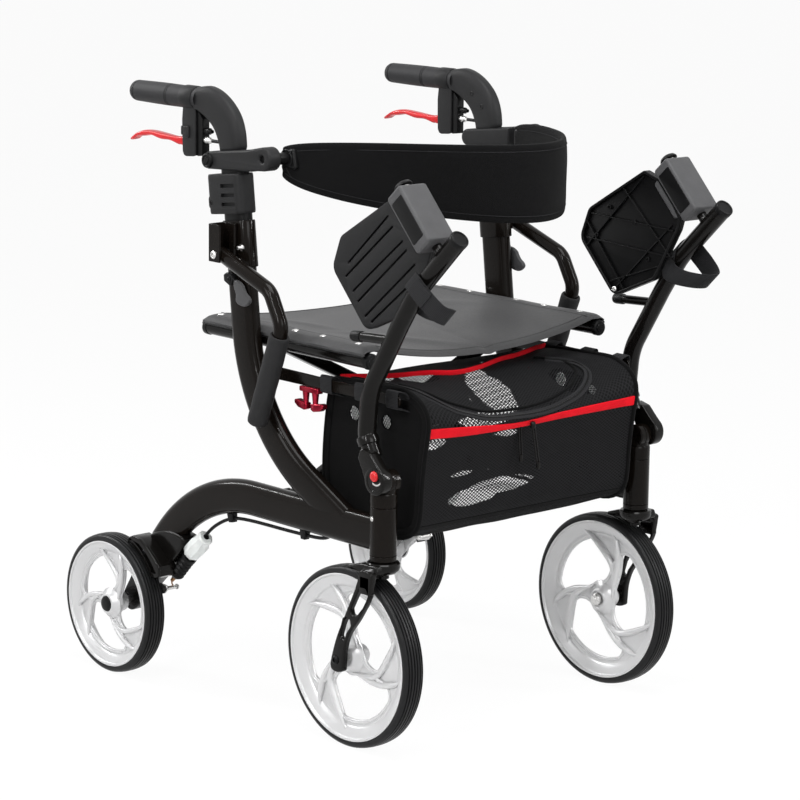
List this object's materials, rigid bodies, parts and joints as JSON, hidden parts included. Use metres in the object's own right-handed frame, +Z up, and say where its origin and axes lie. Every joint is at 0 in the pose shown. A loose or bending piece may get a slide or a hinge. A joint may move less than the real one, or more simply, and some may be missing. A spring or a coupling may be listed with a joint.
{
  "type": "walker",
  "caption": "Folding wheeled walker with a sling seat, bag, padded back strap, flip-up armrests, swing-out footrests, hand brakes and height-adjustable handles.",
  "frame": {"origin": "middle of the walker's box, on the floor", "axes": "+X is the direction of travel, +Y is the user's left, +Z is up"},
  "size_m": [0.819, 0.596, 0.88],
  "materials": {
    "frame_black": "gloss black powder coat with a warm cast",
    "charcoal_plastic": "satin moulded plastic",
    "black_rubber": "matt rubber",
    "foam": "matt closed foam",
    "tyre_rubber": "matt tyre rubber",
    "silver_rim": "satin silver paint on plastic",
    "red_plastic": "gloss red plastic",
    "red_anodised": "red anodised metal",
    "black_cloth": "woven cloth and mesh",
    "webbing": "ribbed webbing",
    "seat_leatherette": "fine grained coated cloth",
    "steel_hardware": "plated steel",
    "clear_plastic": "pale translucent plastic"
  },
  "bodies": {
    "right_side": {"right_frame": "frame_black", "right_armrest_bracket": "frame_black", "right_clamp_collar": "charcoal_plastic", "right_wheel_mount": "charcoal_plastic", "right_cable_adjuster": "clear_plastic", "right_brake_cable": "black_rubber", "right_side_bar": "frame_black", "right_bag_hook": "red_anodised", "bag": "black_cloth"},
    "right_caster": {"right_fork": "charcoal_plastic"},
    "right_front_wheel": {"right_front_tyre": "tyre_rubber", "right_front_rim": "silver_rim"},
    "right_rear_wheel": {"right_rear_tyre": "tyre_rubber", "right_rear_rim": "silver_rim"},
    "right_brake_arm": {"right_brake_arm": "steel_hardware"},
    "right_handle": {"right_handle_tube": "frame_black", "right_handle_body": "charcoal_plastic", "right_grip": "black_rubber", "right_brake_housing": "charcoal_plastic", "right_backrest_bracket": "charcoal_plastic"},
    "right_brake_lever": {"right_brake_lever": "red_plastic"},
    "right_armrest": {"right_armrest_tube": "frame_black", "right_armrest_pad": "foam"},
    "right_armrest_lever": {"right_armrest_lever": "charcoal_plastic"},
    "right_footrest": {"right_footrest_arm": "frame_black", "right_heel_strap": "webbing"},
    "right_release_button": {"right_release_button": "red_plastic"},
    "right_footplate": {"right_footplate": "charcoal_plastic"},
    "left_side": {"left_frame": "frame_black", "left_armrest_bracket": "frame_black", "left_clamp_collar": "charcoal_plastic", "left_wheel_mount": "charcoal_plastic", "left_cable_adjuster": "clear_plastic", "left_brake_cable": "black_rubber", "left_side_bar": "frame_black", "left_bag_hook": "red_anodised"},
    "left_caster": {"left_fork": "charcoal_plastic"},
    "left_front_wheel": {"left_front_tyre": "tyre_rubber", "left_front_rim": "silver_rim"},
    "left_rear_wheel": {"left_rear_tyre": "tyre_rubber", "left_rear_rim": "silver_rim"},
    "left_brake_arm": {"left_brake_arm": "steel_hardware"},
    "left_handle": {"left_handle_tube": "frame_black", "left_handle_body": "charcoal_plastic", "left_grip": "black_rubber", "left_brake_housing": "charcoal_plastic", "left_backrest_bracket": "charcoal_plastic"},
    "left_brake_lever": {"left_brake_lever": "red_plastic"},
    "left_armrest": {"left_armrest_tube": "frame_black", "left_armrest_pad": "foam"},
    "left_armrest_lever": {"left_armrest_lever": "charcoal_plastic"},
    "left_footrest": {"left_footrest_arm": "frame_black", "left_heel_strap": "webbing"},
    "left_release_button": {"left_release_button": "red_plastic"},
    "left_footplate": {"left_footplate": "charcoal_plastic"},
    "right_brace": {"right_seat_brace": "frame_black", "seat": "seat_leatherette"},
    "left_brace": {"left_seat_brace": "frame_black"},
    "backrest": {"backrest": "black_cloth"}
  },
  "joints": [
    {"name": "right_caster_swivel", "type": "hinge", "parent": "right_side", "child": "right_caster", "pos_m": [0.2536, -0.2435, 0.272], "axis": [0, 0, 1], "continuous": true},
    {"name": "right_front_wheel_spin", "type": "hinge", "parent": "right_caster", "child": "right_front_wheel", "pos_m": [0.1966, -0.2435, 0.127], "axis": [0, 1, 0], "continuous": true},
    {"name": "right_rear_wheel_spin", "type": "hinge", "parent": "right_side", "child": "right_rear_wheel", "pos_m": [-0.3049, -0.2785, 0.104], "axis": [0, 1, 0], "continuous": true},
    {"name": "right_brake_arm_turn", "type": "hinge", "parent": "right_side", "child": "right_brake_arm", "pos_m": [-0.2569, -0.26, 0.176], "axis": [0, -1, 0], "range_deg": [0, 3.5]},
    {"name": "right_handle_slide", "type": "slide", "parent": "right_side", "child": "right_handle", "axis": [-0.1159, 0, 0.9933], "range_m": [0, 0.1], "deforming": ["right_brake_cable", "left_brake_cable"]},
    {"name": "right_brake_lever_squeeze", "type": "hinge", "parent": "right_handle", "child": "right_brake_lever", "pos_m": [-0.1639, -0.2435, 0.803], "axis": [0, 1, 0], "range_deg": [0, 14], "stiffness_Nm_per_rad": 0.6},
    {"name": "right_armrest_flip", "type": "hinge", "parent": "right_side", "child": "right_armrest", "pos_m": [-0.0509, -0.279, 0.655], "axis": [0, -1, 0], "range_deg": [0, 109]},
    {"name": "right_armrest_lever_turn", "type": "hinge", "parent": "right_side", "child": "right_armrest_lever", "pos_m": [-0.0489, -0.2625, 0.621], "axis": [0, -1, 0], "range_deg": [0, 20]},
    {"name": "right_footrest_swing", "type": "hinge", "parent": "right_side", "child": "right_footrest", "pos_m": [0.2591, -0.25, 0.382], "axis": [0, 1, 0], "range_deg": [0, 118], "deforming": ["right_heel_strap"]},
    {"name": "right_release_button_press", "type": "slide", "parent": "right_footrest", "child": "right_release_button", "axis": [0, 1, 0], "range_m": [0, 0.003], "stiffness_N_per_m": 400},
    {"name": "right_footplate_flip", "type": "hinge", "parent": "right_footrest", "child": "right_footplate", "pos_m": [0.3721, -0.25, 0.697], "axis": [0.6794, 0, -0.7337], "range_deg": [0, 90]},
    {"name": "left_caster_swivel", "type": "hinge", "parent": "left_side", "child": "left_caster", "pos_m": [0.2536, 0.2435, 0.272], "axis": [0, 0, 1], "continuous": true},
    {"name": "left_front_wheel_spin", "type": "hinge", "parent": "left_caster", "child": "left_front_wheel", "pos_m": [0.1966, 0.2435, 0.127], "axis": [0, 1, 0], "continuous": true},
    {"name": "left_rear_wheel_spin", "type": "hinge", "parent": "left_side", "child": "left_rear_wheel", "pos_m": [-0.3049, 0.2785, 0.104], "axis": [0, 1, 0], "continuous": true},
    {"name": "left_brake_arm_turn", "type": "hinge", "parent": "left_side", "child": "left_brake_arm", "pos_m": [-0.2569, 0.26, 0.176], "axis": [0, -1, 0], "range_deg": [0, 3.5]},
    {"name": "left_handle_slide", "type": "slide", "parent": "left_side", "child": "left_handle", "axis": [-0.1159, 0, 0.9933], "range_m": [0, 0.1]},
    {"name": "left_brake_lever_squeeze", "type": "hinge", "parent": "left_handle", "child": "left_brake_lever", "pos_m": [-0.1639, 0.2435, 0.803], "axis": [0, 1, 0], "range_deg": [0, 14], "stiffness_Nm_per_rad": 0.6},
    {"name": "left_armrest_flip", "type": "hinge", "parent": "left_side", "child": "left_armrest", "pos_m": [-0.0509, 0.279, 0.655], "axis": [0, -1, 0], "range_deg": [0, 109]},
    {"name": "left_armrest_lever_turn", "type": "hinge", "parent": "left_side", "child": "left_armrest_lever", "pos_m": [-0.0489, 0.2625, 0.621], "axis": [0, -1, 0], "range_deg": [0, 20]},
    {"name": "left_footrest_swing", "type": "hinge", "parent": "left_side", "child": "left_footrest", "pos_m": [0.2591, 0.25, 0.382], "axis": [0, 1, 0], "range_deg": [0, 118], "deforming": ["left_heel_strap"]},
    {"name": "left_release_button_press", "type": "slide", "parent": "left_footrest", "child": "left_release_button", "axis": [0, -1, 0], "range_m": [0, 0.003], "stiffness_N_per_m": 400},
    {"name": "left_footplate_flip", "type": "hinge", "parent": "left_footrest", "child": "left_footplate", "pos_m": [0.3721, 0.25, 0.697], "axis": [-0.6794, 0, 0.7337], "range_deg": [0, 90]},
    {"name": "frame_fold", "type": "hinge", "parent": "right_side", "child": "right_brace", "pos_m": [0.0226, -0.2175, 0.315], "axis": [-1, 0, 0], "range_deg": [-36, 0], "deforming": ["seat", "bag", "backrest"]},
    {"name": "brace_cross", "type": "hinge", "parent": "right_brace", "child": "left_brace", "pos_m": [0.0226, 0, 0.4215], "axis": [1, 0, 0], "range_deg": [-72, 0]},
    {"name": "left_side_fold", "type": "hinge", "parent": "left_brace", "child": "left_side", "pos_m": [0.0226, 0.2175, 0.315], "axis": [-1, 0, 0], "range_deg": [-36, 0]},
    {"name": "backrest_flip", "type": "hinge", "parent": "right_handle", "child": "backrest", "pos_m": [0.0231, 0, 0.7915], "axis": [0, -1, 0], "range_deg": [0, 175]}
  ],
  "couplings": [
    {"joint": "right_brake_arm_turn", "follows": "right_brake_lever_squeeze", "ratio": 0.25},
    {"joint": "right_footplate_flip", "follows": "right_footrest_swing", "ratio": 0.7627},
    {"joint": "left_brake_arm_turn", "follows": "left_brake_lever_squeeze", "ratio": 0.25},
    {"joint": "left_footplate_flip", "follows": "left_footrest_swing", "ratio": 0.7627},
    {"joint": "brace_cross", "follows": "frame_fold", "ratio": 2},
    {"joint": "left_side_fold", "follows": "frame_fold", "ratio": 1},
    {"joint": "left_handle_slide", "follows": "right_handle_slide", "ratio": 1}
  ]
}
